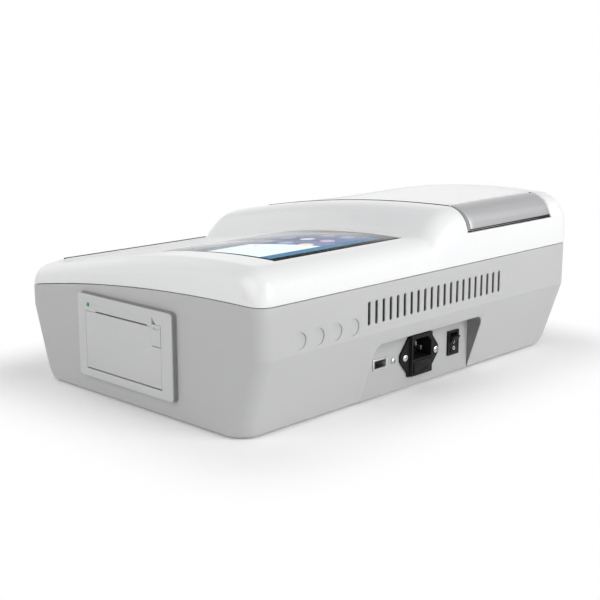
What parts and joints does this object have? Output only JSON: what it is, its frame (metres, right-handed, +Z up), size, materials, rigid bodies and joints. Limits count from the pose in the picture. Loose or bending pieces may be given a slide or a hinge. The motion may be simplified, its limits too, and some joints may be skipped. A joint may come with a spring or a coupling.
{
  "type": "benchtop colorimeter",
  "caption": "Benchtop colorimeter with an arched white cover, a raised hinged sample bay, a sloping touch screen, a side label printer and a rear connector recess.",
  "frame": {"origin": "bottom centre of the bounding box, at the undersides of the feet", "axes": "+X towards the printer end, +Y towards the rear with the connectors, +Z up"},
  "size_m": [0.399, 0.28, 0.1467],
  "materials": {
    "case_grey": "fine texture",
    "cover_white": "glossy",
    "black_plastic": "satin",
    "frame_grey": "satin",
    "satin_metal": "satin",
    "steel": "bright",
    "dark_glass": "polished",
    "rubber": "matt",
    "circuit_board": "solder mask",
    "black_aluminium": "anodised",
    "lamp_clear": "clear",
    "lamp_green": "clear",
    "paper": "plain white paper"
  },
  "bodies": {
    "case": {"base_shell": "case_grey", "top_cover": "cover_white", "front_trim": "black_plastic", "lid_hinge_pin": "steel", "case_screws": "steel", "feet": "rubber", "screen_glass": "dark_glass", "screen_gasket": "black_plastic", "display_module": "black_plastic", "screen_bracket": "steel", "screen_screws": "steel", "sample_tray": "black_plastic", "tray_screws": "steel", "optics_plate": "steel", "cell_block": "black_aluminium", "block_screws": "steel", "lamp_board": "circuit_board", "lamps": "lamp_clear", "detector_board": "circuit_board", "photodiodes": "steel", "board_spacers": "steel", "optics_screws": "steel", "main_board": "circuit_board", "main_board_parts": "black_plastic", "main_board_screws": "steel", "power_board": "circuit_board", "power_board_parts": "black_plastic", "power_board_screws": "steel", "usb_shell": "steel", "usb_tongue": "cover_white", "usb_screws": "steel", "usb_board": "circuit_board", "usb_bracket": "steel", "inlet_body": "black_plastic", "inlet_pins": "steel", "inlet_screws": "steel", "switch_body": "black_plastic", "switch_terminals": "steel", "printer_bezel": "frame_grey", "printer_housing": "black_plastic", "printer_lamp": "lamp_green", "print_head": "steel", "feed_motor": "steel", "printer_screws": "steel"},
    "sample_lid": {"sample_lid": "cover_white", "lid_strip": "satin_metal"},
    "fuse_drawer": {"fuse_drawer": "black_plastic", "fuse": "steel"},
    "switch_rocker": {"switch_rocker": "black_plastic"},
    "printer_door": {"printer_door": "frame_grey"},
    "platen": {"platen_roller": "rubber"},
    "door_lever": {"door_lever": "frame_grey"},
    "paper_roll": {"paper_roll": "paper"}
  },
  "joints": [
    {"name": "lid_hinge", "type": "hinge", "parent": "case", "child": "sample_lid", "pos_m": [-0.10445, 0.1383, 0.127], "axis": [-1, 0, 0], "range_deg": [0, 75]},
    {"name": "fuse_drawer_slide", "type": "slide", "parent": "case", "child": "fuse_drawer", "axis": [0, 1, 0], "range_m": [0, 0.016]},
    {"name": "switch_rock", "type": "hinge", "parent": "case", "child": "switch_rocker", "pos_m": [-0.05135, 0.1185, 0.0281], "axis": [1, 0, 0], "range_deg": [0, 24]},
    {"name": "printer_door_hinge", "type": "hinge", "parent": "case", "child": "printer_door", "pos_m": [0.19725, -0.00735, 0.0249], "axis": [0, 1, 0], "range_deg": [0, 80]},
    {"name": "platen_spin", "type": "hinge", "parent": "printer_door", "child": "platen", "pos_m": [0.18655, -0.0086, 0.0629], "axis": [0, 1, 0], "continuous": true},
    {"name": "door_lever_pull", "type": "hinge", "parent": "case", "child": "door_lever", "pos_m": [0.19795, 0.034, 0.0569], "axis": [0, 1, 0], "range_deg": [0, 8], "stiffness_Nm_per_rad": 0.02, "springref_deg": -8.59},
    {"name": "paper_roll_spin", "type": "hinge", "parent": "case", "child": "paper_roll", "pos_m": [0.16655, -0.0086, 0.0425], "axis": [0, 1, 0], "continuous": true}
  ]
}
